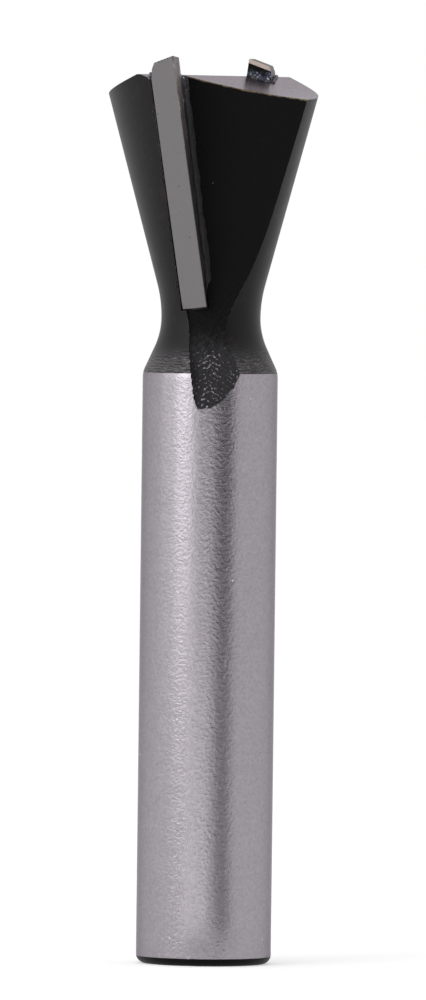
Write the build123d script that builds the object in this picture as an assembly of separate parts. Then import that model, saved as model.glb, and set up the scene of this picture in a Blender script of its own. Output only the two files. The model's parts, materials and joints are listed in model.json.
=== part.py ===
from build123d import *
import math
import os

# Dovetail router bit: a turned and milled steel body with two brazed carbide tips.
# Millimetres and degrees. The origin is the centre of the shank's end face, +Z runs to the cutting end.

# ---- shank ----
shank_diameter = 8.0
shank_length = 35.0  # end face to the corner where the taper starts
shank_end_chamfer = 0.45
collar_taper_angle = 24.5  # taper from the shank down into the neck, from the axis
collar_round = 1.5

# ---- head ----
cutting_diameter = 14.3  # over the two tips at the cutting end
dovetail_angle = 15.0  # side of the dovetail, from the axis
head_length = 18.65  # from the shank's corner to the top of the tips
neck_radius_lower = 4.2
neck_radius_upper = 7.5

# ---- flutes ----
flute_bite = 0.805  # how far the flute floor lies under the skin of the neck
flute_cutter_radius = 34.0
flute_runout_start = 5.3  # from the tips' lower end up to where the floor leaves its straight run
flute_corner_radius = 0.25

# ---- carbide tips ----
tip_thickness = 1.5
tip_proud = 0.353  # how far the cutting edge stands outside the steel, along a radius
tip_above_body = 1.08
tip_foot_above_throat = 0.65  # lower end of the tips over the narrowest part of the neck
tip_lean_angle = 7.4  # long side of the tip from the axis, seen from outside
tip_hook_angle = 4.0  # the tip, its wall and the flute floor are turned this much about the axis
tip_trail = 0.25  # lower end of the cutting edge behind the plane through the axis
side_relief_angle = 28.0  # outer face of the tip, from square to its rake face
end_relief_angle = 13.0
end_dish_angle = 1.0  # the end of the tip drops towards the axis

# ---- tip seats and braze ----
seat_depth = 0.2  # the seat is sunk this far into the flute's floor and wall
braze_gap = 0.08
braze_recess = 0.15  # braze behind the tip stops short of the steel's skin
bead_size = 0.45  # hollow bead where the rake face meets the flute floor
bead_edge = 0.04  # its thickness where it runs out

# ---- ground end of the body ----
ridge_turn = 47.0  # direction of the ridge from +X, seen from the cutting end
ridge_half_width = 0.1
end_grind_angle = 19.0
end_grind_wheel_radius = 31.0

# ---- lengths and radii that follow ----
shank_radius = shank_diameter / 2
cutting_radius = cutting_diameter / 2
tip_top_z = shank_length + head_length
body_top_z = tip_top_z - tip_above_body

side_slope = math.tan(math.radians(dovetail_angle))
taper = math.radians(collar_taper_angle)
upper_arc_rise = neck_radius_upper * (1 / math.cos(math.radians(dovetail_angle)) - 1)
lower_arc_rise = neck_radius_lower * (1 - math.cos(taper))
lower_arc_height = neck_radius_lower * math.sin(taper)
# The narrowest radius lies where the dovetail's side and the collar's taper, each with its own
# tangent arc, reach the same height.
throat_share = side_slope / math.tan(taper)
side_at_collar = cutting_radius - tip_proud - head_length * side_slope
neck_radius = (
    side_at_collar
    + upper_arc_rise
    + throat_share * (shank_radius - lower_arc_rise)
    + side_slope * lower_arc_height
) / (1 + throat_share)
throat_z = (
    shank_length
    + (shank_radius - neck_radius - lower_arc_rise) / math.tan(taper)
    + lower_arc_height
)
tip_foot_z = throat_z + tip_foot_above_throat
floor_depth = neck_radius - flute_bite
tool_reach = cutting_diameter + head_length  # larger than any cut


def side_radius(z):
    """Radius of the steel's conical side at a height."""
    return cutting_radius - tip_proud - (tip_top_z - z) * side_slope


def turned_blank():
    """The bar as turned: shank, collar, waisted neck and conical head."""
    lean = math.radians(dovetail_angle)
    throat = (neck_radius, throat_z)
    taper_end = (neck_radius + lower_arc_rise, throat_z - lower_arc_height)
    side_start_z = throat_z + neck_radius_upper * math.sin(lean)
    side_start = (neck_radius + neck_radius_upper * (1 - math.cos(lean)), side_start_z)
    lower_mid = (
        neck_radius + neck_radius_lower * (1 - math.cos(taper / 2)),
        throat_z - neck_radius_lower * math.sin(taper / 2),
    )
    upper_mid = (
        neck_radius + neck_radius_upper * (1 - math.cos(lean / 2)),
        throat_z + neck_radius_upper * math.sin(lean / 2),
    )
    rim = (side_radius(body_top_z), body_top_z)
    outline = [
        Polyline(
            (0, 0),
            (shank_radius - shank_end_chamfer, 0),
            (shank_radius, shank_end_chamfer),
            (shank_radius, shank_length),
            taper_end,
        ),
        ThreePointArc(taper_end, lower_mid, throat),
        ThreePointArc(throat, upper_mid, side_start),
        Polyline(side_start, rim, (0, body_top_z), (0, 0)),
    ]
    blank = revolve(Plane.XZ * make_face(Curve() + outline), Axis.Z)
    on_shank = [
        edge
        for edge in blank.edges().filter_by(GeomType.CIRCLE)
        if abs(edge.center().Z - shank_length) < 1e-3
    ]
    return fillet(on_shank, collar_round)


def rake_frame():
    """Frame of one tip: X out of the rake face, Y towards the axis, Z up the tip's long side."""
    lean = math.radians(tip_lean_angle)
    hook = math.radians(tip_hook_angle)
    long_side = Vector(-math.sin(lean), 0, math.cos(lean))
    level = Vector(math.cos(lean), 0, math.sin(lean))
    normal = level * math.cos(hook) - Vector(0, math.sin(hook), 0)
    foot_radius = cutting_radius - (tip_top_z - tip_foot_z) * side_slope
    foot = Vector(-tip_trail, -math.sqrt(foot_radius**2 - tip_trail**2), tip_foot_z)
    return Plane(origin=foot, x_dir=normal, z_dir=long_side)


def cutting_corner(frame):
    """Where the cutting edge ends at the top: the rake plane meets the full cutting radius."""
    inward, upward = frame.y_dir, frame.z_dir
    start = frame.origin
    rise = tip_top_z - start.Z
    base_x = start.X + upward.X * rise / upward.Z
    base_y = start.Y + upward.Y * rise / upward.Z
    step_x = inward.X - upward.X * inward.Z / upward.Z
    step_y = inward.Y - upward.Y * inward.Z / upward.Z
    a = step_x**2 + step_y**2
    b = 2 * (base_x * step_x + base_y * step_y)
    c = base_x**2 + base_y**2 - cutting_radius**2
    along = (-b - math.sqrt(b * b - 4 * a * c)) / (2 * a)
    return along, (rise - inward.Z * along) / upward.Z


def box_in(frame, low, high):
    """A box between two corners given in a frame's own coordinates."""
    size = [h - l for l, h in zip(low, high)]
    middle = [(h + l) / 2 for l, h in zip(low, high)]
    return frame * Pos(*middle) * Box(*size)


rake = rake_frame()
corner_y, corner_z = cutting_corner(rake)
edge_slope = corner_y / corner_z
floor_y = -(rake.origin - Vector(0, 0, tip_foot_z)).dot(rake.y_dir) - floor_depth
seat_floor_y = floor_y + seat_depth
tip_inner_y = seat_floor_y - braze_gap
seat_wall_x = -tip_thickness - braze_gap
flute_wall_x = seat_wall_x + seat_depth


def carbide_tip():
    """One tip: a plate that is deepest at the top, with its outer side and its end backed off."""
    side_drop = tip_thickness * math.tan(math.radians(side_relief_angle))
    end_drop = tip_thickness * math.tan(math.radians(end_relief_angle))
    dish_drop = (tip_inner_y - corner_y) * math.tan(math.radians(end_dish_angle))
    rake_side = Polyline(
        (0, 0, 0),
        (0, corner_y, corner_z),
        (0, tip_inner_y, corner_z - dish_drop),
        (0, tip_inner_y, 0),
        close=True,
    )
    back_top = corner_z - end_drop
    back_side = Polyline(
        (-tip_thickness, side_drop, 0),
        (-tip_thickness, side_drop + back_top * edge_slope, back_top),
        (-tip_thickness, tip_inner_y, back_top - dish_drop),
        (-tip_thickness, tip_inner_y, 0),
        close=True,
    )
    return rake * loft([make_face(back_side), make_face(rake_side)], ruled=True)


def flute_cut():
    """Room swept by the side milling cutter: straight floor, then the cutter's own arc runs out."""
    wall = Plane(origin=rake.origin + rake.x_dir * flute_wall_x, x_dir=rake.y_dir, z_dir=rake.x_dir)
    centre_y = floor_y - flute_cutter_radius
    diagonal = flute_cutter_radius * math.sqrt(0.5)
    bend = (floor_y, flute_runout_start)
    middle = (
        centre_y + flute_cutter_radius * math.cos(math.pi / 8),
        flute_runout_start - flute_cutter_radius * math.sin(math.pi / 8),
    )
    out = (centre_y + diagonal, flute_runout_start - diagonal)
    outline = [
        Line((floor_y, corner_z + tool_reach), bend),
        ThreePointArc(bend, middle, out),
        Polyline(
            out,
            (centre_y, flute_runout_start - diagonal),
            (centre_y, corner_z + tool_reach),
            (floor_y, corner_z + tool_reach),
        ),
    ]
    cut = extrude(wall * make_face(Curve() + outline), amount=tool_reach)
    corner = [
        edge
        for edge in cut.edges()
        if all(
            abs(wall.to_local_coords(edge @ end).Z) < 1e-3
            and wall.to_local_coords(edge @ end).X > out[0] - 1e-3
            for end in (0, 1)
        )
    ]
    return fillet(corner, flute_corner_radius)


def seat_room():
    """Room of one tip with its braze gap all round, open to the outside and to the end."""
    return box_in(
        rake,
        (seat_wall_x, -tool_reach, -braze_gap),
        (braze_gap, seat_floor_y, corner_z + tool_reach),
    )


def end_grind():
    """Room of the wheel that hollows one side of the body's end."""
    slope = math.radians(end_grind_angle)
    turn = math.radians(ridge_turn)
    sideways = ridge_half_width + end_grind_wheel_radius * math.sin(slope)
    centre = Vector(
        sideways * math.sin(turn),
        -sideways * math.cos(turn),
        body_top_z + end_grind_wheel_radius * math.cos(slope),
    )
    along = Vector(math.cos(turn), math.sin(turn), 0)
    wheel = Plane(origin=centre - along * tool_reach, z_dir=along)
    face = wheel * Circle(end_grind_wheel_radius)
    return extrude(face, amount=2 * tool_reach)


half_turn = Rot(0, 0, 180)


def both(cut):
    """A cut and its copy half a turn round the axis."""
    return [cut, half_turn * cut]


def bead_bar():
    """Bar with a hollow side, lying along the foot of the rake face and following the flute floor."""
    reach = bead_size - bead_edge
    diagonal = reach * math.sqrt(0.5)
    outline = [
        Polyline(
            (bead_size, bead_edge),
            (bead_size, -seat_depth),
            (0, -seat_depth),
            (0, bead_size),
            (bead_edge, bead_size),
        ),
        ThreePointArc(
            (bead_edge, bead_size),
            (bead_size - diagonal, bead_size - diagonal),
            (bead_size, bead_edge),
        ),
    ]
    start = Plane(
        origin=rake.from_local_coords(Vector(0, floor_y, corner_z)),
        x_dir=rake.x_dir,
        z_dir=-rake.z_dir,
    )
    turn = math.asin((flute_runout_start + braze_gap) / flute_cutter_radius)
    centre_y = floor_y - flute_cutter_radius
    stops = [
        (centre_y + flute_cutter_radius * math.cos(share * turn),
         flute_runout_start - flute_cutter_radius * math.sin(share * turn))
        for share in (0.5, 1)
    ]
    bend, middle, foot = [
        rake.from_local_coords(Vector(0, y, z))
        for y, z in [(floor_y, flute_runout_start)] + stops
    ]
    path = Wire([Line(start.origin, bend).edge(), ThreePointArc(bend, middle, foot).edge()])
    return sweep(start * make_face(Curve() + outline), path=path)


def braze_joint(flute, seat, tip, end_cuts):
    """Filler metal round the sunk part of one tip, and the bead in front of its rake face."""
    skin_low = side_radius(tip_foot_z - tip_thickness) - braze_recess
    skin_high = side_radius(body_top_z) - braze_recess
    rise = body_top_z - tip_foot_z + tip_thickness
    middle = Pos(0, 0, body_top_z - rise / 2)
    inside_skin = middle * Cone(skin_low, skin_high, rise)
    film = (seat - flute) & inside_skin
    bead = bead_bar() & flute & inside_skin
    joint = (film + bead) - tip
    for cut in end_cuts:
        joint = joint - cut
    return joint


flute = flute_cut()
seat = seat_room()
end_cuts = both(end_grind())

body = turned_blank() - (both(flute) + both(seat) + end_cuts)

tip_front = carbide_tip()
braze_front = braze_joint(flute, seat, tip_front, end_cuts)

pieces = {
    "body": body,
    "carbide_tip_front": tip_front,
    "carbide_tip_rear": half_turn * tip_front,
    "braze_front": braze_front,
    "braze_rear": half_turn * braze_front,
}

os.makedirs("parts", exist_ok=True)
for name, piece in pieces.items():
    export_step(piece, f"parts/{name}.step")

print(f"neck diameter {2 * neck_radius:.2f} at z {throat_z:.2f}, web {2 * floor_depth:.2f} thick")
print(f"overall length {tip_top_z:.2f}, tips {tip_top_z - tip_foot_z:.2f} long")
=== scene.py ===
# %% [markdown]
# # A dovetail router bit, dressed for its picture
#
# The bit is a steel bar, turned to a waist and a dovetail head, with two straight flutes milled
# into it. A carbide tip is brazed into a seat in each flute, and the tips and the end are ground.
# The shank is ground bright for the collet, and the rest of the steel stays blackened.
#
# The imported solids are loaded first, as a fixed frame. Each piece made below stands where its
# solid stands, in the same coordinates.

# %% Load the frame
import bmesh
import bpy
import json
import math
import random
from mathutils import Matrix, Vector, noise
from mathutils.bvhtree import BVHTree

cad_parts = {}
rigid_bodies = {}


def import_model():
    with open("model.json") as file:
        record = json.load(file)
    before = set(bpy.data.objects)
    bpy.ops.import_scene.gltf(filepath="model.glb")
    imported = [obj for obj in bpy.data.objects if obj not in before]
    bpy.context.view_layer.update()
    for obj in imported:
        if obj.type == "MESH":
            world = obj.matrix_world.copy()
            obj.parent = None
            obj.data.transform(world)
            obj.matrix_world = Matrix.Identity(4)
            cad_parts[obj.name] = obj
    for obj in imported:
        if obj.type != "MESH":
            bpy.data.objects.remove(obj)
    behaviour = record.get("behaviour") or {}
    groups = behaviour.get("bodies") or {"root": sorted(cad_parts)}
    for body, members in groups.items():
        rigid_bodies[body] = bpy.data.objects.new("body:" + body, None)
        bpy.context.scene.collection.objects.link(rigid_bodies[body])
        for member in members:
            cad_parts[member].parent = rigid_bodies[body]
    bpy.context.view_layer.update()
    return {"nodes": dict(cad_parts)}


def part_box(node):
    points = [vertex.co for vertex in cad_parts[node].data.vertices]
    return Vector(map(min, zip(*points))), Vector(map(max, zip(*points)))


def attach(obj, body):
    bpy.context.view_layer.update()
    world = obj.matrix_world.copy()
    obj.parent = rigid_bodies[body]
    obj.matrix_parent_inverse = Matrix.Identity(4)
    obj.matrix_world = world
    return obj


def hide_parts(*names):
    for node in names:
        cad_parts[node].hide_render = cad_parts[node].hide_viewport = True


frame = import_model()
scene = bpy.context.scene
print("solids:", sorted(frame["nodes"]))

# %% [markdown]
# ## Sizes
#
# A tool grinder's drawing gives millimetres, so the shapes are worked out in millimetres and
# brought to metres at the very end. The overall sizes are read off the loaded solids, and the
# rest are the shop's settings: angles, wheel and cutter sizes, and the radii of the neck.

# %% Driving sizes, in millimetres and degrees
MM = 0.001

body_top = (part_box("body")[1] / MM).z
tip_top = (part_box("carbide_tip_front")[1] / MM).z

shank_radius = 4.0
shank_end_round = 0.55
foot_blackened_to = 0.45
collar_height = 35.0
collar_taper = math.radians(24.5)
collar_round = 1.5
blackened_above = 34.97
cutting_radius = 7.15
tip_proud = 0.353
dovetail = math.radians(15.0)
neck_radius_lower = 4.2
neck_radius_upper = 7.5
tip_foot_above_throat = 0.65
RIDGE_TURN = math.radians(47.0)
RIDGE_HALF_WIDTH = 0.1
END_GRIND = math.radians(19.0)
WHEEL_RADIUS = 31.0
wheel_side = RIDGE_HALF_WIDTH + WHEEL_RADIUS * math.sin(END_GRIND)
wheel_height = body_top + WHEEL_RADIUS * math.cos(END_GRIND)
print(f"head from {collar_height} to {tip_top:.2f} mm, body {body_top:.2f} mm high")

# %% [markdown]
# ## The camera
#
# A long lens far away flattens a small tool, which is how catalogue pictures of cutters are taken.
# The camera stands almost level with the bit and is turned a little about its own axis, so the
# bit leans by less than a degree. The picture is 426 by 1000 pixels, and the lens is worked out
# from how many millimetres have to fit its height.

# %% Camera
LENS_NEAR = 0.01
PICTURE_HEIGHT = 1000
PIXELS_PER_MM = 16.89
CAMERA_DISTANCE = 815.0
CAMERA_HEIGHT = 45.5
CAMERA_SIDE = 0.25
PICTURE_CENTRE_HEIGHT = 27.45
CAMERA_ROLL = 0.01204


def linked(name, data):
    """An object that holds this data, put in the scene."""
    made = bpy.data.objects.new(name, data)
    scene.collection.objects.link(made)
    return made


def aimed_matrix(place, target, roll=0.0):
    """Matrix that looks from place to target, turned about the line of sight."""
    forward = (target - place).normalized()
    right = forward.cross(Vector((0, 0, 1))).normalized()
    up = right.cross(forward)
    side = right * math.cos(roll) + up * math.sin(roll)
    top = up * math.cos(roll) - right * math.sin(roll)
    turned = Matrix((side, top, -forward)).transposed()
    return Matrix.Translation(place) @ turned.to_4x4()


camera_place = Vector((CAMERA_SIDE, -CAMERA_DISTANCE, CAMERA_HEIGHT)) * MM
camera_target = Vector((CAMERA_SIDE, 0, PICTURE_CENTRE_HEIGHT)) * MM
lens_data = bpy.data.cameras.new("camera")
half_height = PICTURE_HEIGHT / PIXELS_PER_MM / 2 * MM
lens_data.lens = lens_data.sensor_width / 2 * (camera_target - camera_place).length / half_height
lens_data.clip_start = LENS_NEAR
camera = linked("camera", lens_data)
camera.matrix_world = aimed_matrix(camera_place, camera_target, CAMERA_ROLL)
scene.camera = camera
print(f"lens {lens_data.lens:.0f} mm")

# %% [markdown]
# ## Wiring nodes like arithmetic
#
# A material or a shape rule is a formula, and a formula reads best as one. A small class wraps a
# node's output, so that sums and products of wires add their own Math nodes. Every other node
# comes from one method, which takes the node's type, its settings, and what feeds its sockets.

# %% Node helper
def pick(sockets, key):
    """A socket that is in use, by its place or by its name."""
    shown = [socket for socket in sockets if socket.enabled]
    if isinstance(key, int):
        return shown[key]
    return next(socket for socket in shown if socket.name == key)


class Wire:
    """A node's output. Arithmetic on it adds Math nodes."""

    def __init__(self, socket):
        self.socket = socket

    def node(self, kind, settings=None, values=None, out=0):
        """Another node in the same tree."""
        return Tree(self.socket.id_data).node(kind, settings, values, out)

    def math(self, operation, *values):
        """A Math node in the same tree."""
        return Tree(self.socket.id_data).math(operation, *values)

    def other(self, name):
        """Another output of the same node."""
        return Wire(pick(self.socket.node.outputs, name))

    def __add__(self, other):
        return self.math("ADD", self, other)

    def __radd__(self, other):
        return self.math("ADD", other, self)

    def __sub__(self, other):
        return self.math("SUBTRACT", self, other)

    def __rsub__(self, other):
        return self.math("SUBTRACT", other, self)

    def __mul__(self, other):
        return self.math("MULTIPLY", self, other)

    def __rmul__(self, other):
        return self.math("MULTIPLY", other, self)

    def __truediv__(self, other):
        return self.math("DIVIDE", self, other)

    def __rtruediv__(self, other):
        return self.math("DIVIDE", other, self)

    def ramp(self, low, high):
        """0 below low, 1 above high, smooth between. It falls instead where low is above high."""
        settings = {"interpolation_type": "SMOOTHSTEP"}
        values = {"Value": self, "From Min": min(low, high), "From Max": max(low, high)}
        if low > high:
            values.update({"To Min": 1.0, "To Max": 0.0})
        return self.node("ShaderNodeMapRange", settings, values)


class Tree:
    """A node tree that nodes are added to."""

    def __init__(self, tree):
        self.tree = tree

    def node(self, kind, settings=None, values=None, out=0):
        """Adds a node: settings first, then a value or a wire for each socket named."""
        made = self.tree.nodes.new(kind)
        for key, value in (settings or {}).items():
            setattr(made, key, value)
        for key, value in (values or {}).items():
            socket = pick(made.inputs, key)
            for one in value if isinstance(value, list) else [value]:
                if isinstance(one, Wire):
                    self.tree.links.new(one.socket, socket)
                else:
                    socket.default_value = one
        return Wire(pick(made.outputs, out)) if made.outputs else None

    def math(self, operation, *values):
        """A Math node."""
        return self.node("ShaderNodeMath", {"operation": operation}, dict(enumerate(values)))

    def vector(self, operation, *values):
        """A Vector Math node."""
        return self.node("ShaderNodeVectorMath", {"operation": operation}, dict(enumerate(values)))

    def scaled(self, vector, factor):
        """A vector made longer, by the same factor each way."""
        values = {"Vector": vector, "Scale": factor}
        return self.node("ShaderNodeVectorMath", {"operation": "SCALE"}, values)

    def parts(self, vector):
        """The three components of a vector."""
        x = self.node("ShaderNodeSeparateXYZ", None, {"Vector": vector})
        return x, x.other("Y"), x.other("Z")

    def joined(self, x, y, z):
        """A vector from its three components."""
        return self.node("ShaderNodeCombineXYZ", None, {"X": x, "Y": y, "Z": z})

    def mix(self, share, low, high):
        """A colour between two others."""
        return self.node("ShaderNodeMix", {"data_type": "RGBA"}, {"Factor": share, "A": low, "B": high})

    def surface(self, shader, kind="Material"):
        """Ends a material, or the world, in this shader."""
        self.node("ShaderNodeOutput" + kind, None, {"Surface": shader})

    def emission(self, strength):
        """White light."""
        return self.node("ShaderNodeEmission", None, {"Color": (1, 1, 1, 1), "Strength": strength})

    def moved(self, geometry, place=(0.0, 0.0, 0.0), turn=(0.0, 0.0, 0.0), size=(1.0, 1.0, 1.0)):
        """Geometry made larger or smaller, turned and then moved."""
        values = {"Geometry": geometry, "Translation": place, "Rotation": turn, "Scale": size}
        return self.node("GeometryNodeTransform", None, values)

    def painted(self, geometry, material, where=True):
        """Geometry with this material, where that applies."""
        values = {"Geometry": geometry, "Selection": where, "Material": material}
        return self.node("GeometryNodeSetMaterial", None, values)

    def boolean(self, whole, rooms):
        """What is left of a closed shape when these closed rooms are taken away."""
        settings = {"operation": "DIFFERENCE", "solver": "MANIFOLD"}
        return self.node("GeometryNodeMeshBoolean", settings, {"Mesh 1": whole, "Mesh 2": rooms})

    def stored(self, geometry, name, kind, value):
        """Geometry that carries a named value at each point."""
        settings = {"data_type": kind, "domain": "POINT"}
        values = {"Geometry": geometry, "Name": name, "Value": value}
        return self.node("GeometryNodeStoreNamedAttribute", settings, values)

    def real(self, geometry):
        """Copies made into geometry of their own."""
        return self.node("GeometryNodeRealizeInstances", None, {"Geometry": geometry})

    def ball(self, radius):
        """A ball of few faces, since many are set."""
        return self.node("GeometryNodeMeshIcoSphere", None, {"Radius": radius, "Subdivisions": 2})

    def random(self, kind, low, high, seed):
        """A value for each point, the same each run."""
        values = {"Min": low, "Max": high, "Seed": seed}
        return self.node("FunctionNodeRandomValue", {"data_type": kind}, values)

    def swirl(self, scale):
        """A push of up to a half along each axis that changes from place to place."""
        pattern = self.node("ShaderNodeTexNoise", None, {"Scale": scale}, out="Color")
        return self.vector("SUBTRACT", pattern, (0.5, 0.5, 0.5))

    def circle(self, angle):
        """Cosine and sine of an angle."""
        return self.math("COSINE", angle), self.math("SINE", angle)


print("node helper ready")

# %% [markdown]
# ## Floor, surroundings and light
#
# A white sweep with soft light from the left is the plainest light for bright steel. Bright metal
# shows what stands round it: the white walls give the shank its even grey, a softbox gives the
# pale band left of the middle, a wider and dimmer one beside it lets that band fade out, and a
# dark card beside the camera gives the dark band right of the middle.
#
# The fine bumps of ground steel show only where light meets dark. So a dim card stands behind a
# bright one that lies on the floor, and the middle of the shank mirrors the line between them.
# That speckles the middle and leaves the sides smooth, which are lit evenly. The cards stand far
# off, so the line looks much the same from the top of the shank as from its foot, and the dim
# one is low, so that the ground end of the bit isn't dark when it is looked at from behind.
#
# The floor is pale and keeps the shadow. The cards can't be seen directly, only in the metal.

# %% Surroundings
WORLD_DIFFUSE = 0.75
FLOOR_SIZE = 4.0
FLOOR_COLOUR = (0.80, 0.80, 0.80, 1)
FLOOR_GLOW = 0.42
FELT_BLACK = (0.01, 0.01, 0.01, 1)


def seen_directly(tree):
    """1 for rays that show a background: from the camera, in a mirror or through glass."""
    camera_ray = tree.node("ShaderNodeLightPath", out="Is Camera Ray")
    seen = camera_ray + camera_ray.other("Is Glossy Ray") + camera_ray.other("Is Transmission Ray")
    return seen.math("MINIMUM", seen, 1.0)


world = bpy.data.worlds.new("white_room")
world.use_nodes = True
world.node_tree.nodes.clear()
room = Tree(world.node_tree)
level = WORLD_DIFFUSE + seen_directly(room) * (1.0 - WORLD_DIFFUSE)
sky = room.node("ShaderNodeBackground", None, {"Color": (1, 1, 1, 1), "Strength": level})
room.surface(sky, "World")
scene.world = world


def new_material(name):
    """An empty material and its tree."""
    material = bpy.data.materials.new(name)
    material.use_nodes = True
    material.node_tree.nodes.clear()
    return material, Tree(material.node_tree)


def stage_sheet(name, corners, material, matrix=Matrix.Identity(4)):
    """A flat sheet of the set, which isn't part of the object."""
    mesh = bpy.data.meshes.new(name)
    mesh.from_pydata(corners, [], [(0, 1, 2, 3)])
    mesh.materials.append(material)
    piece = linked(name, mesh)
    piece.matrix_world = matrix
    return piece


def rectangle(width, height):
    """Corners of a rectangle about its middle."""
    x, y = width / 2, height / 2
    return [(-x, -y, 0), (x, -y, 0), (x, y, 0), (-x, y, 0)]


pale, tree = new_material("pale_floor")
matt = tree.node("ShaderNodeBsdfDiffuse", None, {"Color": FLOOR_COLOUR})
glow = tree.emission(seen_directly(tree) * FLOOR_GLOW)
tree.surface(tree.node("ShaderNodeAddShader", None, {0: matt, 1: glow}))
stage_sheet("floor", rectangle(FLOOR_SIZE, FLOOR_SIZE), pale)

card_black, tree = new_material("black_card")
tree.surface(tree.node("ShaderNodeBsdfDiffuse", None, {"Color": FELT_BLACK}))


def standing(angle, distance, height):
    """A place on a circle round the bit, facing it. The angle is from the camera, to the right."""
    turn = math.radians(angle)
    middle = Vector((0, 0, height))
    return aimed_matrix(Vector((math.sin(turn), -math.cos(turn), 0)) * distance + middle, middle)


CARD_DISTANCE = 1.5
CARD_LIFT = 0.001
DARK_CARD_ANGLE = 27
DARK_CARD_WIDTH = 0.825
DARK_CARD_TALL = 2.25
DIM_CARD_TALL = 0.42
FAN_FROM = 0.01
FAN_TO = CARD_DISTANCE - 0.02

card_place = standing(DARK_CARD_ANGLE, CARD_DISTANCE, DARK_CARD_TALL / 2)
card = stage_sheet("dark_card", rectangle(DARK_CARD_WIDTH, DARK_CARD_TALL), card_black, card_place)
card.visible_camera = False


def round_bit(angle, distance, height):
    """A point on a circle round the bit. The angle is from the camera, to the right."""
    turn = math.radians(angle)
    return (math.sin(turn) * distance, -math.cos(turn) * distance, height)


def reflected_card(name, angle, spread, near, far, top, level):
    """A card that only the metal sees: a fan that lies on the floor, or a sheet that stands.

    It spreads this far to each side of its angle. Its near edge is by the floor, its far edge is at
    the height top, and level is how bright it is beside the white room.
    """
    left, right = angle - spread, angle + spread
    corners = [round_bit(left, near, CARD_LIFT), round_bit(right, near, CARD_LIFT)]
    corners += [round_bit(right, far, top), round_bit(left, far, top)]
    material, tree = new_material(name)
    tree.surface(tree.emission(level))
    made = stage_sheet(name, corners, material)
    made.visible_camera = False
    made.visible_shadow = False
    made.visible_diffuse = False


reflected_card("camera_card", -4, 15.5, CARD_DISTANCE, CARD_DISTANCE, DIM_CARD_TALL, level=0.26)
reflected_card("bounce_card", -13, 18, FAN_FROM, FAN_TO, CARD_LIFT, level=1.58)
reflected_card("shade_card", 28, 12, FAN_FROM, FAN_TO, CARD_LIFT, level=0.58)

BOX_DISTANCE = 0.8
BOX_MIDDLE = 0.42
BOX_TALL = 0.8


def softbox(name, angle, width, watts):
    """A soft rectangular lamp that stands on the floor and faces the bit."""
    lamp = bpy.data.lights.new(name, "AREA")
    lamp.shape = "RECTANGLE"
    lamp.size = width
    lamp.size_y = BOX_TALL
    lamp.energy = watts
    box = linked(name, lamp)
    box.matrix_world = standing(angle, BOX_DISTANCE, BOX_MIDDLE)
    box.visible_camera = False


softbox("softbox_left", -44, width=0.38, watts=2.15)
softbox("softbox_wide", -70, width=0.54, watts=0.95)
print("white room, pale floor, two softboxes and four cards")

# %% [markdown]
# ## Finishes
#
# Six finishes are on the bit. The shank is ground, so it is bright with a fine grain. The turned
# steel was blackened in a hot salt bath, which leaves a satin black skin. The flutes were milled
# before that and are blacker still. The end was ground after the blackening. The tips are
# cemented carbide, which is a plain mid grey when it is ground, and the braze round them is dull.
#
# Each finish is a function that adds one shader to a tree, so a piece can carry two of them with
# a mask between. Patterns are laid in object coordinates, in millimetres, so they stay in the
# metal whatever the view.

# %% Finishes of the steel
GROUND_STEEL = (0.318, 0.293, 0.320, 1)
GROUND_END = (0.43, 0.395, 0.410, 1)
BLACK_OXIDE = (0.0055, 0.0052, 0.0058, 1)
BLACK_COLLAR = (0.042, 0.039, 0.045, 1)
BLACK_MILLED = (0.0016, 0.0015, 0.0017, 1)
MILLED_GREY = (0.030, 0.028, 0.031, 1)
# Painted glint colour: highlights on the run-out's crests, put into the base colour.
MILLED_PAINTED_GLINT = (0.55, 0.52, 0.56, 1)
# Rubbed bare steel; along the sharp edges it is also a painted highlight.
RUBBED_AND_HIGHLIGHT = (0.16, 0.15, 0.15, 1)
FILM_RED = (0.022, 0.012, 0.010, 1)
BURR_GOLD = (0.20, 0.145, 0.085, 1)
DUST = (0.85, 0.85, 0.85, 1)
DUST_ON_BLACK = (0.4, 0.4, 0.4, 1)
DUST_IN_FLUTE = (0.3, 0.3, 0.32, 1)
STEEL_TINT = (0.52, 0.50, 0.53, 1)
GROUND_DEPTH = 0.021
BLACK_DEPTH = 0.016
MILLED_DEPTH = 0.05


def millimetres(tree):
    """Object coordinates in millimetres."""
    return tree.scaled(tree.node("ShaderNodeTexCoord", out="Object"), 1 / MM)


def grain(tree, place, scale, detail=2.0, roughness=0.5):
    """Noise with this many bumps to a millimetre."""
    values = {"Vector": place, "Scale": scale, "Detail": detail, "Roughness": roughness}
    return tree.node("ShaderNodeTexNoise", None, values)


def stretched(tree, place, x, y, z):
    """Coordinates made longer or shorter along each axis, which draws a pattern out."""
    return tree.vector("MULTIPLY", place, (x, y, z))


def bumped(tree, height, depth):
    """The normal of a surface whose height goes from 0 to 1 over this many millimetres."""
    return tree.node("ShaderNodeBump", None, {"Height": height, "Distance": depth * MM})


def principled(tree, constants, colour, metal, rough, normal):
    """The standard shader. The constants are plain numbers on its own sockets."""
    values = {"Base Color": colour, "Metallic": metal, "Roughness": rough, "Normal": normal}
    return tree.node("ShaderNodeBsdfPrincipled", None, {**constants, **values})


def specks(tree, place, scale, size):
    """Sparse small spots, 1 inside."""
    cell = tree.node("ShaderNodeTexVoronoi", None, {"Vector": place, "Scale": scale})
    chosen = tree.node("ShaderNodeTexWhiteNoise", None, {"Vector": cell.other("Position")})
    return cell.ramp(size, size * 0.6) * chosen.ramp(0.72, 0.76)


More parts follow.
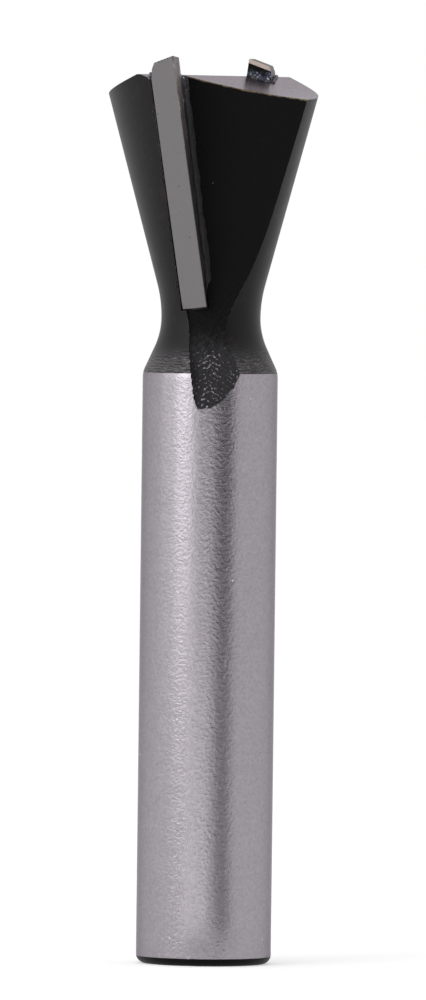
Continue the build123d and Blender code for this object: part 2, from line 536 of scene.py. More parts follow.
def ground_steel(tree, place, base):
    """Bright steel from a fine wheel: a soft grain, a few hairline marks, scattered dust."""
    fine = grain(tree, place, 5.2, 3.0, 0.6)
    broad = grain(tree, place, 0.9, 2.0)
    hair = grain(tree, stretched(tree, place, 9.0, 9.0, 1.2), 1.0, 2.0)
    scratch = hair.ramp(0.70, 0.74)
    dust = specks(tree, place, 0.9, 0.06)
    shade = fine * 0.55 + broad * 0.10 + 0.675
    tinted = tree.node("ShaderNodeMix", {"data_type": "RGBA", "blend_type": "MULTIPLY"},
                       {"Factor": 1.0, "A": base, "B": tree.joined(shade, shade, shade)})
    colour = tree.mix(dust, tinted, DUST)
    rough = 0.2 + broad * 0.06 + scratch * 0.1
    normal = bumped(tree, fine - scratch * 0.15 + dust * 0.5, GROUND_DEPTH)
    return principled(tree, {"Specular Tint": STEEL_TINT}, colour, 1.0 - dust, rough, normal)


def waves(height, pitch):
    """A smooth wave from 0 to 1 that repeats once each pitch."""
    return height.math("SINE", height * (2 * math.pi / pitch)) * 0.5 + 0.5


def blackened(tree, place):
    """Blackened turned steel: edges bare from wear, with a painted highlight; torn and paler at the collar.
    """
    rubbed = tree.node("ShaderNodeAttribute", {"attribute_name": "rubbed"}, out="Fac")
    up = tree.parts(place)[2]
    fine = grain(tree, place, 7.0, 3.0, 0.6)
    broad = grain(tree, place, 1.3, 3.0)
    turning = grain(tree, stretched(tree, place, 0.4, 0.4, 14.0), 1.0, 2.0)
    collar = up.ramp(37.2, 35.2)
    patchy = (fine * 0.9 + broad * 0.8).ramp(0.55, 1.05)
    torn = waves(up + broad * 0.55, 0.17) * up.ramp(36.6, 35.3) * patchy
    # Bare edges: partly real wear, partly a painted highlight along the sharp edges.
    worn_and_highlight = (rubbed * rubbed * (0.35 + fine)).ramp(0.55, 1.05)
    film = tree.mix(broad.ramp(0.55, 0.75) * 0.6, BLACK_OXIDE, FILM_RED)
    film = tree.mix(collar * 0.75, film, BLACK_COLLAR)
    film = tree.mix(torn, film, RUBBED_AND_HIGHLIGHT)
    dust = specks(tree, place, 1.4, 0.05)
    colour = tree.mix(dust * 0.6, tree.mix(worn_and_highlight, film, RUBBED_AND_HIGHLIGHT), DUST_ON_BLACK)
    normal = bumped(tree, fine * 0.5 + turning * 0.35 + torn * 2.4, BLACK_DEPTH)
    metal = worn_and_highlight + torn * 0.3
    return principled(tree, {"Specular IOR Level": 0.185}, colour, metal, 0.38 + broad * 0.12, normal)


def below_end(tree, place):
    """How far a place lies under the hollow that the wheel ground in the end."""
    across, along, up = tree.parts(place)
    from_ridge = across * math.sin(RIDGE_TURN) - along * math.cos(RIDGE_TURN)
    from_wheel = from_ridge.math("ABSOLUTE", from_ridge) - wheel_side
    drop = from_wheel.math("SQRT", WHEEL_RADIUS ** 2 - from_wheel * from_wheel)
    return wheel_height - drop - up


def milled_black(tree, place):
    """The flute, milled and blackened: deep black, with herringbone crests and painted glints on them."""
    across, up = tree.parts(place)[::2]
    fine = grain(tree, place, 8.0, 3.0, 0.6)
    lumps = grain(tree, place, 3.4, 2.0, 0.6)
    dust = specks(tree, place, 1.1, 0.07)
    flecks = grain(tree, place, 5.2, 2.0, 0.55)
    slow = (up + lumps * 2.0).ramp(39.3, 36.9) * up.ramp(20.0, 21.0)
    beside = across.math("ABSOLUTE", across)
    herring = waves(up + beside * 0.6 + lumps * 0.6, 0.30) * (0.72 + beside.ramp(1.1, 0.2) * 0.28)
    crest = (herring * 0.36 + flecks * 0.80) * slow
    # Painted glints: the crests are made bright and metallic in colour, in place of the softboxes'
    # highlights.
    painted_glint = crest.ramp(0.68, 0.80) * fine.ramp(0.42, 0.60)
    ragged = below_end(tree, place) - lumps * 0.20 + fine * 0.10
    burr = ragged.ramp(0.04, -0.02) * fine.ramp(0.36, 0.50)
    grey = tree.mix(slow * slow * 0.9, BLACK_MILLED, MILLED_GREY)
    colour = tree.mix(burr, tree.mix(painted_glint * 0.55, grey, MILLED_PAINTED_GLINT), BURR_GOLD)
    colour = tree.mix(dust * 0.5, colour, DUST_IN_FLUTE)
    normal = bumped(tree, fine * 0.25 + crest * 1.3, MILLED_DEPTH)
    return principled(tree, {"Specular IOR Level": 0.09}, colour, painted_glint, 0.44 - slow * 0.10, normal)


material_bar, tree = new_material("bar_ground_and_blackened")
place = millimetres(tree)
up = tree.parts(place)[2]
wander = grain(tree, place, 1.6, 2.0) * 0.05
bright_part = (up + wander).ramp(blackened_above + 0.035, blackened_above + 0.015)
bright_part = bright_part * (up - wander * 0.4).ramp(foot_blackened_to - 0.03, foot_blackened_to)
bright_part = bright_part + up.ramp(body_top - 0.03, body_top - 0.01)
ground_shank = ground_steel(tree, place, GROUND_STEEL)
mixed = {0: bright_part, 1: blackened(tree, place), 2: ground_shank}
mixed = tree.node("ShaderNodeMixShader", None, mixed)
foot = up.ramp(foot_blackened_to + 0.06, foot_blackened_to + 0.02) - bright_part
tree.surface(tree.node("ShaderNodeMixShader", None, {0: foot, 1: mixed, 2: milled_black(tree, place)}))


def finished(name, shader, *details):
    """A material that is one finish all over."""
    material, tree = new_material(name)
    tree.surface(shader(tree, millimetres(tree), *details))
    return material


material_flute = finished("flute_milled_black", milled_black)
material_end = finished("end_ground", ground_steel, GROUND_END)
print("steel finishes: ground, blackened, milled black")

# %% [markdown]
# ## The turned bar
#
# On the lathe the bar gets its whole outline in one pass: the shank with its rounded end, the
# collar, the waist made of two tangent arcs, and the dovetail cone. A revolve gives exactly that,
# so the outline is written as a few straight runs and arcs, and a Geometry Nodes tree turns it.
# The tree makes a grid, reads the outline row by row and sets each point by its angle. The same
# place is right for the wavy rings that the turning tool left above the collar.

# %% Outline of the bar
OUTLINE_STEP = 0.2
PLAIN_STEP = 40.0
RING_STEP = 0.035
RINGS_FROM = 34.97
RINGS_TO = 37.0
close_rows_from = collar_height - 2.5

side_slope = math.tan(dovetail)
upper_rise = neck_radius_upper * (1 / math.cos(dovetail) - 1)
lower_rise = neck_radius_lower * (1 - math.cos(collar_taper))
lower_height = neck_radius_lower * math.sin(collar_taper)
share = side_slope / math.tan(collar_taper)
side_at_collar = cutting_radius - tip_proud - (tip_top - collar_height) * side_slope
neck_radius = (side_at_collar + upper_rise + share * (shank_radius - lower_rise)
               + side_slope * lower_height) / (1 + share)
throat = collar_height + (shank_radius - neck_radius - lower_rise) / math.tan(collar_taper) + lower_height
tip_foot = throat + tip_foot_above_throat


def arc(centre_r, centre_z, radius, start, stop):
    """Points of an arc in the outline's plane. Angles are from the outward direction."""
    count = max(8, math.ceil(abs(stop - start) * radius / OUTLINE_STEP))
    angles = [start + (stop - start) * step / count for step in range(count + 1)]
    return [(centre_r + radius * math.cos(a), centre_z + radius * math.sin(a)) for a in angles]


def divided(points, step_at):
    """The same line with more points, no further apart than step_at says for their height."""
    fine = [points[0]]
    for (r0, z0), (r1, z1) in zip(points, points[1:]):
        count = max(1, math.ceil(math.hypot(r1 - r0, z1 - z0) / step_at((z0 + z1) / 2)))
        fine += [(r0 + (r1 - r0) * k / count, z0 + (z1 - z0) * k / count) for k in range(1, count + 1)]
    return fine


def row_step(z):
    """Rows lie close where the rings are, far apart on the plain shank."""
    if RINGS_FROM < z < RINGS_TO:
        return RING_STEP
    return OUTLINE_STEP if z > close_rows_from else PLAIN_STEP


corner_run = collar_round * math.tan(collar_taper / 2)
collar_arc = arc(shank_radius - collar_round, collar_height - corner_run, collar_round, 0, collar_taper)
neck_low = arc(neck_radius + neck_radius_lower, throat, neck_radius_lower,
               math.pi + collar_taper, math.pi)
neck_high = arc(neck_radius + neck_radius_upper, throat, neck_radius_upper, math.pi, math.pi - dovetail)
rim = (cutting_radius - tip_proud - (tip_top - body_top) * side_slope, body_top)
foot_arc = arc(shank_radius - shank_end_round, shank_end_round, shank_end_round, -math.pi / 2, 0)
outline = [(0, 0), *foot_arc, (shank_radius, close_rows_from), *collar_arc,
           *neck_low, *neck_high[1:], rim, (0, body_top)]
outline = divided(outline, row_step)
print(f"outline of {len(outline)} points, neck {2 * neck_radius:.2f} mm thick at {throat:.2f} mm")

# %% Trees and modifiers
SOCKET_KINDS = ((int, "Int"), (float, "Float"), (Vector, "Vector"),
                (bpy.types.Object, "Object"), (bpy.types.Material, "Material"))


def shape_tree(name, values):
    """A Geometry Nodes tree with an input named for each value. Returns it and its input wires."""
    tree = bpy.data.node_groups.new(name, "GeometryNodeTree")
    face = tree.interface
    face.new_socket("Geometry", in_out="OUTPUT", socket_type="NodeSocketGeometry")
    face.new_socket("Geometry", in_out="INPUT", socket_type="NodeSocketGeometry")
    for key, value in values.items():
        kind = next(kind for python_type, kind in SOCKET_KINDS if isinstance(value, python_type))
        face.new_socket(key, in_out="INPUT", socket_type="NodeSocket" + kind)
    group_in = tree.nodes.new("NodeGroupInput")
    wires = {socket.name: Wire(socket) for socket in group_in.outputs if socket.name}
    return Tree(tree), wires


def line_object(name, points, material):
    """A mesh of points joined in a row, as the starting geometry of a tree."""
    mesh = bpy.data.meshes.new(name)
    edges = [(k, k + 1) for k in range(len(points) - 1)]
    mesh.from_pydata([(x, y, 0) for x, y in points], edges, [])
    mesh.materials.append(material)
    return linked(name, mesh)


def drop_empty_slots(mesh):
    """Removes slots that hold nothing. The numbers that faces use keep their order, so they close up."""
    kept = [material for material in mesh.materials if material]
    numbers = [0] * len(mesh.polygons)
    mesh.polygons.foreach_get("material_index", numbers)
    used = sorted(set(numbers))
    assert len(used) == len(kept), f"{mesh.name}: {len(used)} numbers for {len(kept)} materials"
    mesh.materials.clear()
    for material in kept:
        mesh.materials.append(material)
    mesh.polygons.foreach_set("material_index", [used.index(number) for number in numbers])
    mesh.update()


def run_tree(start, tree, values, name):
    """Runs a tree on an object with these inputs and keeps the result as a plain mesh object."""
    modifier = start.modifiers.new("tree", "NODES")
    modifier.node_group = tree.tree
    for socket in tree.tree.interface.items_tree:
        if socket.in_out == "INPUT" and socket.name in values:
            modifier[socket.identifier] = values[socket.name]
    graph = bpy.context.evaluated_depsgraph_get()
    evaluated = start.evaluated_get(graph)
    mesh = bpy.data.meshes.new_from_object(evaluated, preserve_all_data_layers=True, depsgraph=graph)
    start.modifiers.remove(modifier)
    bpy.data.objects.remove(start)
    mesh.name = name
    drop_empty_slots(mesh)
    return linked(name, mesh)


def grid_place(tree, rows, columns):
    """A grid with its row and column numbers, ready to be bent into a closed skin."""
    grid = tree.node("GeometryNodeMeshGrid", None,
                     {"Size X": 1.0, "Size Y": 1.0, "Vertices X": rows, "Vertices Y": columns})
    index = tree.node("GeometryNodeInputIndex")
    row = tree.math("FLOOR", (index + 0.5) / columns)
    return grid, row, index - row * columns


def row_of(tree, line, number):
    """The place of one numbered point of the starting line, which is flat."""
    position = tree.node("GeometryNodeInputPosition")
    settings = {"data_type": "FLOAT_VECTOR"}
    values = {"Geometry": line, "Value": position, "Index": number}
    return tree.parts(tree.node("GeometryNodeSampleIndex", settings, values))[:2]


def closed_skin(tree, grid, place):
    """Moves the grid's points to their place and welds seam and poles."""
    moved = tree.node("GeometryNodeSetPosition", None, {"Geometry": grid, "Position": place})
    return tree.node("GeometryNodeMergeByDistance", None, {"Geometry": moved, "Distance": 1e-4})


def finish_tree(tree, geometry, material, where=True):
    """Ends a tree as the export wants it: real geometry, with its material where that applies."""
    tree.node("NodeGroupOutput", None, {"Geometry": tree.painted(tree.real(geometry), material, where)})


print("tree helpers ready")

# %% Turned bar
SEGMENTS = 192
RING_HEIGHT = 0.038
RING_PITCH = 0.16

bar_values = {
    "Rows": len(outline), "Segments": SEGMENTS, "Ring height": RING_HEIGHT, "Ring pitch": RING_PITCH,
    "Rings from": RINGS_FROM, "Rings to": RINGS_TO, "Material": material_bar}
tree, given = shape_tree("turned_bar", bar_values)
columns = given["Segments"] + 1
grid, row, column = grid_place(tree, given["Rows"], columns)
radius, height = row_of(tree, given["Geometry"], row)
cosine, sine = tree.circle(column * (-2 * math.pi) / given["Segments"])
wander = grain(tree, tree.joined(cosine * 2.2, sine * 2.2, height * 1.2), 0.9, 3.0)
patch = grain(tree, tree.joined(cosine * 1.5, sine * 1.5, height * 0.7), 1.1, 1.0)
phase = (height / given["Ring pitch"] + wander * 5.0) * (2 * math.pi)
wave = tree.math("SINE", phase)
low_edge = (height - given["Rings from"]).ramp(0.05, 0.25)
high_edge = (given["Rings to"] - height).ramp(0.0, 1.1)
rings = (wave - 1.0) * given["Ring height"] * low_edge * high_edge * patch.ramp(0.35, 0.62) * 0.5
turned = tree.joined(cosine * (radius + rings), sine * (radius + rings), height)
finish_tree(tree, closed_skin(tree, grid, turned), given["Material"])

bar = run_tree(line_object("bar_outline", outline, material_bar), tree, bar_values, "bar_turned")
print("bar:", len(bar.data.polygons), "faces")

# %% [markdown]
# ## The milled flutes
#
# A side and face cutter runs straight along each flute and then lifts out of the steel along its
# own radius, which leaves the curved run-out at the collar. The cut is made here as the cutter
# makes it: its edge line, with the small corner radius, is carried along that path, and the swept
# room is taken away from the bar. The cutter's teeth lean alternately left and right, so the
# floor carries herringbone crests, which show where the feed slows in the run-out.

# %% Frame of a tip and its flute
tip_lean = math.radians(7.4)
tip_hook = math.radians(4.0)
tip_trail = 0.25
tip_thickness = 1.5
seat_depth = 0.2
braze_gap = 0.08
flute_bite = 0.805
flute_cutter_radius = 34.0
flute_straight_from = 5.3
flute_corner_radius = 0.25

foot_radius = cutting_radius - (tip_top - tip_foot) * side_slope
rake_up = Vector((-math.sin(tip_lean), 0, math.cos(tip_lean)))
rake_level = Vector((math.cos(tip_lean), 0, math.sin(tip_lean)))
rake_out = rake_level * math.cos(tip_hook) - Vector((0, math.sin(tip_hook), 0))
rake_in = rake_up.cross(rake_out)
rake_origin = Vector((-tip_trail, -math.sqrt(foot_radius ** 2 - tip_trail ** 2), tip_foot))
rake = Matrix.Translation(rake_origin) @ Matrix((rake_out, rake_in, rake_up)).transposed().to_4x4()
floor_depth = neck_radius - flute_bite
floor_in = -(rake_origin - Vector((0, 0, tip_foot))).dot(rake_in) - floor_depth
wall_out = -tip_thickness - braze_gap + seat_depth
print(f"flute floor {floor_depth:.2f} mm from the axis, floor line at {floor_in:.3f} mm")

# %% Milled flute
FLOOR_COLUMN = 0.13
WALL_COLUMN = 0.35
FLOOR_REACH = 4.2
CUT_REACH = 9.0
ABOVE_TIP = 17.5
STRAIGHT_ROWS = 92
ARC_ROWS = 250
ARC_END = math.radians(25)
CREST_HEIGHT = 0.034
CREST_PITCH = 0.33
WALL_CREST = 0.06
WALL_PITCH = 0.41

corner_centre = wall_out + flute_corner_radius
columns_on_floor = math.ceil((FLOOR_REACH - corner_centre) / FLOOR_COLUMN)
floor_line = [(FLOOR_REACH - k * (FLOOR_REACH - corner_centre) / columns_on_floor, 0)
              for k in range(columns_on_floor + 1)]
corner_line = [(corner_centre + x, y - flute_corner_radius) for x, y in
               arc(0, 0, flute_corner_radius, math.pi / 2 + math.pi / 10, math.pi)]
wall_line = [(wall_out, -flute_corner_radius - WALL_COLUMN * k) for k in range(1, 16)]
edge_line = [(CUT_REACH, 0), *floor_line, *corner_line, *wall_line,
             (wall_out, -CUT_REACH), (CUT_REACH, -CUT_REACH), (CUT_REACH, 0)]

flute_values = {
    "Columns": len(edge_line), "Straight rows": STRAIGHT_ROWS, "Arc rows": ARC_ROWS, "Top": ABOVE_TIP,
    "Bend": flute_straight_from, "Floor": floor_in, "Cutter radius": flute_cutter_radius,
    "Arc end": ARC_END, "Crest height": CREST_HEIGHT, "Crest pitch": CREST_PITCH,
    "Wall crest": WALL_CREST, "Wall pitch": WALL_PITCH, "Wall": wall_out, "Material": material_flute}
tree, given = shape_tree("milled_flute", flute_values)


def cusps(travelled):
    """The crests that a row of teeth leaves: 1 at each whole number, 0 half-way between."""
    phase = tree.math("FRACT", travelled) * 2.0 - 1.0
    return phase * phase


rows = given["Straight rows"] + given["Arc rows"] + 3.0
grid, row, column = grid_place(tree, rows, given["Columns"])
side, depth = row_of(tree, given["Geometry"], column)
step = row - 1.0
on_straight = tree.math("MAXIMUM", tree.math("MINIMUM", step, given["Straight rows"]), 0.0)
on_arc = tree.math("MAXIMUM", step - given["Straight rows"], 0.0)
on_arc = tree.math("MINIMUM", on_arc, given["Arc rows"])
lowering = on_straight / given["Straight rows"] * (given["Top"] - given["Bend"])
turn = on_arc / given["Arc rows"] * given["Arc end"]
travel = lowering + turn * given["Cutter radius"]

floor_share = depth.ramp(-flute_corner_radius, 0.0)
wall_share = (side - given["Wall"]).ramp(flute_corner_radius, 0.0)
rough_place = tree.joined(side * 1.3, travel * 1.3, depth)
unrest = grain(tree, rough_place, 1.0, 3.0)
fleck = grain(tree, rough_place, 4.1, 2.0)
lean = tree.math("ABSOLUTE", side - 0.15) * 0.55
cusp = cusps((travel + lean) / given["Crest pitch"] + unrest * 1.6)
late = (travel - (given["Top"] - given["Bend"])).ramp(1.0, 6.5)
swell = late * 0.93 + 0.07
crest = cusp * given["Crest height"] * swell * fleck.ramp(0.30, 0.62) * floor_share
wall_cusp = cusps(travel / given["Wall pitch"] + unrest)
wall_crest = wall_cusp * given["Wall crest"] * swell * wall_share

cap = tree.math("COMPARE", row, 0.0, 0.5) + tree.math("COMPARE", row, rows - 1.0, 0.5)
middle = (CUT_REACH + wall_out) / 2
side = (side + wall_crest) * (1.0 - cap) + cap * middle
depth = (depth - crest) * (1.0 - cap) - cap * (CUT_REACH / 2)
cosine, sine = tree.circle(turn)
arm = given["Cutter radius"] + depth
inward = given["Floor"] - given["Cutter radius"] + arm * cosine
upward = given["Top"] - lowering - arm * sine
finish_tree(tree, closed_skin(tree, grid, tree.joined(side, inward, upward)), given["Material"])

flute = run_tree(line_object("cutter_edge", edge_line, material_flute), tree, flute_values, "flute_room")
flute.data.transform(rake)
print("flute:", len(flute.data.polygons), "faces")

# %% [markdown]
# ## Cutting the bar
#
# Five things were cut from the bar after turning: two flutes, two seats sunk a little below the
# flute for the tips, and the end, which a big wheel hollows on each side of a ridge. Each cut is
# a closed room, and the second of each pair is the first turned by half a turn. Taking all the
# rooms away in one Boolean keeps every edge as sharp as the tools left it. A small nick on one
# side, from a knock, is taken away with them. The edges are marked afterwards, because the finish
# rubs them bright, and the same mark paints a highlight along them in place of a bevel.

# %% Cut body
WHEEL_FACETS = 1024
NICK_PLACE = (-5.33, 0.1, 47.6)
NICK_SIZE = 0.16
SHARP_ANGLE = math.radians(28)

seat_low = Vector((wall_out - seat_depth, -CUT_REACH, -braze_gap))
seat_high = Vector((braze_gap, floor_in + seat_depth, ABOVE_TIP))
wheel_centre = Vector((wheel_side * math.sin(RIDGE_TURN), -wheel_side * math.cos(RIDGE_TURN),
                       wheel_height))

in_bit = {"Place": rake_origin, "Turn": Vector(rake.to_euler()), "Scale": Vector((MM, MM, MM))}
body_values = {
    **in_bit, "Flute": flute, "Seat middle": (seat_low + seat_high) / 2, "Seat size": seat_high - seat_low,
    "Wheel place": wheel_centre, "Wheel turn": Vector((math.pi / 2, 0, math.pi / 2 + RIDGE_TURN)),
    "Wheel radius": WHEEL_RADIUS, "Wheel length": 2 * ABOVE_TIP, "Facets": WHEEL_FACETS,
    "Sharp angle": SHARP_ANGLE, "Nick place": Vector(NICK_PLACE), "Nick size": NICK_SIZE,
    "Flute material": material_flute, "End material": material_end, "Bar material": material_bar}
tree, given = shape_tree("cut_body", body_values)
milled = tree.node("GeometryNodeObjectInfo", None, {"Object": given["Flute"]}, out="Geometry")
seat = tree.node("GeometryNodeMeshCube", None, {"Size": given["Seat size"]})
seat = tree.moved(tree.moved(seat, given["Seat middle"]), given["Place"], given["Turn"])
seat = tree.painted(seat, given["Flute material"])
values = {"Vertices": given["Facets"], "Radius": given["Wheel radius"], "Depth": given["Wheel length"]}
wheel = tree.node("GeometryNodeMeshCylinder", None, values)
wheel = tree.painted(tree.moved(wheel, given["Wheel place"], given["Wheel turn"]), given["End material"])
nick = tree.painted(tree.moved(tree.ball(given["Nick size"]), given["Nick place"]), given["Flute material"])
rooms = [milled, seat, wheel]
rooms += [tree.moved(room_made, turn=(0.0, 0.0, math.pi)) for room_made in rooms]
cut = tree.boolean(given["Geometry"], rooms + [nick])
bend = tree.node("GeometryNodeInputMeshEdgeAngle")
values = {"A": bend, "B": given["Sharp angle"]}
is_edge = tree.node("FunctionNodeCompare", {"operation": "GREATER_THAN"}, values)
settings = {"data_type": "BOOLEAN", "domain": "EDGE"}
is_edge = tree.node("GeometryNodeFieldOnDomain", settings, {"Value": is_edge})
values = {"Geometry": cut, "Shade Smooth": True}
smooth = tree.node("GeometryNodeSetShadeSmooth", {"domain": "FACE"}, values)
values = {"Geometry": smooth, "Selection": is_edge, "Shade Smooth": False}
creased = tree.node("GeometryNodeSetShadeSmooth", {"domain": "EDGE"}, values)
# Marks the sharp edges, for wear and for a painted highlight along them.
rubbed = tree.stored(creased, "rubbed", "FLOAT", is_edge)
turned_part = tree.node("GeometryNodeMaterialSelection", None, {"Material": given["Bar material"]})
finish_tree(tree, tree.moved(rubbed, size=given["Scale"]), given["Bar material"], turned_part)

body = run_tree(bar, tree, body_values, "body_dressed")
bpy.data.objects.remove(flute)
print("body:", len(body.data.polygons), "faces,", [slot.name for slot in body.data.materials])

# %% [markdown]
# ## Carbide and braze
#
# Cemented carbide is hard grains of tungsten carbide in cobalt. Ground, it is a plain mid grey
# with dark pores. The silver braze is duller, and flux and heat stain it brown and blue, also on
# the unground faces of the tip. Those stains lie by the tip's own faces, so each piece carries an
# attribute, its place in the tip's frame: how far out of the cutting face, how deep, how high.

# %% Carbide and braze finishes
CARBIDE = (0.165, 0.157, 0.163, 1)
CARBIDE_LIGHT = (0.235, 0.220, 0.228, 1)
CARBIDE_PORE = (0.030, 0.028, 0.030, 1)
EDGE_PAINTED_HIGHLIGHT = (0.68, 0.56, 0.50, 1)
FACE_GREY = (0.058, 0.054, 0.056, 1)
BRAZE = (0.26, 0.205, 0.195, 1)
BRAZE_BLUE = (0.10, 0.12, 0.17, 1)
BRAZE_BARE_AND_GLINT = (0.62, 0.62, 0.66, 1)
BRAZE_DARK = (0.012, 0.011, 0.012, 1)
INNER_FACE_BLACK = (0.004, 0.0035, 0.0035, 1)
CARBIDE_TINT = (0.6, 0.58, 0.6, 1)
CARBIDE_DEPTH = 0.014
BRAZE_DEPTH = 0.03
FRACTURE_DEPTH = 0.02
INNER_FACE = 1.187
INNER_TOP = 14.824
ROOF = 13.45


def tip_frame(tree):
    """Place in the tip's frame: out of the cutting face, depth, height."""
    return tree.parts(tree.node("ShaderNodeAttribute", {"attribute_name": "tip_place"}, out="Vector"))


def carbide_shader(tree, place):
    """Ground carbide. The unground faces: flux and braze on the cutting face, near black on the inner face.
    """
    out, depth, high = tip_frame(tree)
    fine = grain(tree, place, 7.0, 3.0, 0.6)
    broad = grain(tree, place, 1.6, 3.0, 0.6)
    pores = specks(tree, place, 1.7, 0.09)
    tone = (fine * 0.5 + broad * 0.3).ramp(0.15, 0.75)
    ground = tree.mix(pores, tree.mix(tone * 0.3, CARBIDE, CARBIDE_LIGHT), CARBIDE_PORE)
    cutting_face = out.ramp(-0.05, -0.03)
    inner_face = depth.ramp(INNER_FACE - 0.05, INNER_FACE - 0.03)
    ground_top = (high - out * 0.23).ramp(INNER_TOP - 0.27, INNER_TOP - 0.21)
    smear = (broad + fine * 0.3).ramp(0.50, 0.72)
    low = (high + broad).ramp(ROOF + 1.30, ROOF + 0.90)
    # The inner face below its top band is painted near black, with blue and bright specks at its foot.
    inner_face_colour = tree.mix(low * fine.ramp(0.40, 0.55), INNER_FACE_BLACK, BRAZE_BLUE)
    # Painted glints: sparse bright specks in the braze at the foot of the inner face.
    inner_face_colour = tree.mix(low * fine.ramp(0.60, 0.66), inner_face_colour, BRAZE_BARE_AND_GLINT)
    upper = (high + broad * 2.0).ramp(9.0, 13.6)
    streak = grain(tree, stretched(tree, place, 2.6, 2.6, 0.7), 1.0, 3.0, 0.55)
    burnt = (depth + broad).ramp(0.9, 1.5)
    face_stain = tree.mix(burnt, FACE_GREY, BRAZE_DARK)
    face_stain = tree.mix(upper * streak.ramp(0.26, 0.62) * 0.9, face_stain, BRAZE)
    bare = (streak * 0.6 + fine * 0.6).ramp(0.655, 0.72)
    face_stain = tree.mix(upper * bare * 0.8, face_stain, BRAZE_BARE_AND_GLINT)
    colour = tree.mix(cutting_face * 0.9, ground, face_stain)
    colour = tree.mix(inner_face * (1.0 - ground_top), colour, inner_face_colour)
    # Painted highlight: the ground top band of the inner face is painted bright and pinkish.
    colour = tree.mix(inner_face * ground_top * 0.8, colour, EDGE_PAINTED_HIGHLIGHT)
    dull = cutting_face * 0.2 + inner_face * (1.0 - ground_top) * 0.4
    normal = bumped(tree, fine - pores * 0.4 + smear * cutting_face * 0.6, CARBIDE_DEPTH)
    constants = {"Specular Tint": CARBIDE_TINT, "Specular IOR Level": 0.3}
    return principled(tree, constants, colour, 0.9 - dull, 0.42 + broad * 0.1, normal)


def braze_shader(tree, place):
    """Silver braze under burnt flux: nearly black, with bare metal and painted glints near the top."""
    high = tip_frame(tree)[2]
    fine = grain(tree, place, 6.0, 3.0, 0.6)
    blotch = grain(tree, place, 2.6, 3.0, 0.6)
    upper = (high + blotch * 1.5).ramp(11.8, 14.0)
    roof = high.ramp(ROOF - 0.25, ROOF + 0.05)
    metal = tree.mix(blotch.ramp(0.42, 0.58), BRAZE, BRAZE_BLUE)
    bare = (upper * 0.25 + roof * 0.55) * (fine * 0.6 + blotch * 0.5).ramp(0.46, 0.60)
    colour = tree.mix(bare, BRAZE_DARK, metal)
    # Painted glints: sparse bright specks near the roof and the top; bare braze elsewhere.
    bright = roof * fine.ramp(0.60, 0.66) + upper * fine.ramp(0.66, 0.70)
    colour = tree.mix(bright, colour, BRAZE_BARE_AND_GLINT)
    normal = bumped(tree, fine + blotch, BRAZE_DEPTH)
    return principled(tree, {"Specular IOR Level": 0.3}, colour, bare * 0.8, 0.42, normal)


def fracture_shader(tree, place):
    """Broken carbide, rough and dark."""
    rough = grain(tree, place, 11.0, 3.0, 0.6)
    colour = tree.mix(rough, CARBIDE_PORE, CARBIDE)
    normal = bumped(tree, rough, FRACTURE_DEPTH)
    return principled(tree, {"Specular IOR Level": 0.3}, colour, 0.6, 0.5 + rough * 0.1, normal)


material_carbide = finished("carbide_ground", carbide_shader)
material_fracture = finished("carbide_fracture", fracture_shader)
material_braze = finished("braze_dull", braze_shader)
print("carbide, fracture and braze finishes")

# %% [markdown]
# ## The tips
#
# A tip is a slip of carbide, pressed and sintered, and its faces are ground once it is brazed in.
# It is made from a copy of its solid, so it keeps the exact size. The heel is a little worn towards
# the top, each edge has a tiny bevel that catches the light, and the brittle cutting edge has
# chips. The chips are small rocks set along the edge with a fixed seed and taken away in one
# Boolean, which leaves shell-shaped hollows as real chipping does.

# %% Copies of the solids, in the tip's frame
HEEL_CUTS = [((-1.5, 0, 13.72), (-1.37, 0, 14.40)), ((-1.38, 0, 14.30), (-1.24, 0, 14.56))]
EDGE_BEVEL = 0.03


def solid_copy(name):
    """A solid's triangles, joined into whole faces, in millimetres in the tip's frame."""
    mesh = frame["nodes"][name].data.copy()
    mesh.transform(rake.inverted() @ Matrix.Scale(1 / MM, 4))
    work = bmesh.new()
    work.from_mesh(mesh)
    bmesh.ops.remove_doubles(work, verts=work.verts, dist=1e-4)
    bmesh.ops.dissolve_limit(work, angle_limit=0.01, verts=work.verts, edges=work.edges)
    bpy.data.meshes.remove(mesh)
    return work


def as_object(name, work, material):
    """A bmesh as an object with one material."""
    mesh = bpy.data.meshes.new(name)
    work.to_mesh(mesh)
    work.free()
    mesh.materials.append(material)
    return linked(name, mesh)


def in_the_bit(tree, geometry, given):
    """Notes each point's place in the tip's frame, then stands the piece in the bit, in metres."""
    noted = tree.stored(geometry, "tip_place", "FLOAT_VECTOR", tree.node("GeometryNodeInputPosition"))
    return tree.moved(tree.moved(noted, given["Place"], given["Turn"]), size=given["Scale"])


def sliced(work, place, direction, drop=False):
    """Cuts every face along a plane. With drop, what lies beyond is removed and the hole closed."""
    everything = work.verts[:] + work.edges[:] + work.faces[:]
    cut = bmesh.ops.bisect_plane(work, geom=everything, dist=1e-5, plane_co=place, plane_no=direction,
                                 clear_outer=drop)
    if drop:
        rim = [part for part in cut["geom_cut"] if isinstance(part, bmesh.types.BMEdge)]
        bmesh.ops.edgeloop_fill(work, edges=rim)


work = solid_copy("carbide_tip_front")
for low, high in HEEL_CUTS:
    along = Vector(high) - Vector(low)
    sliced(work, low, Vector((-along.z, 0, along.x)), drop=True)
bmesh.ops.recalc_face_normals(work, faces=work.faces[:])
bmesh.ops.bevel(work, geom=work.edges[:], offset=EDGE_BEVEL, segments=2, profile=0.5, affect="EDGES")
tip_start = as_object("tip_blank", work, material_carbide)
print("tip blank:", len(tip_start.data.polygons), "faces")

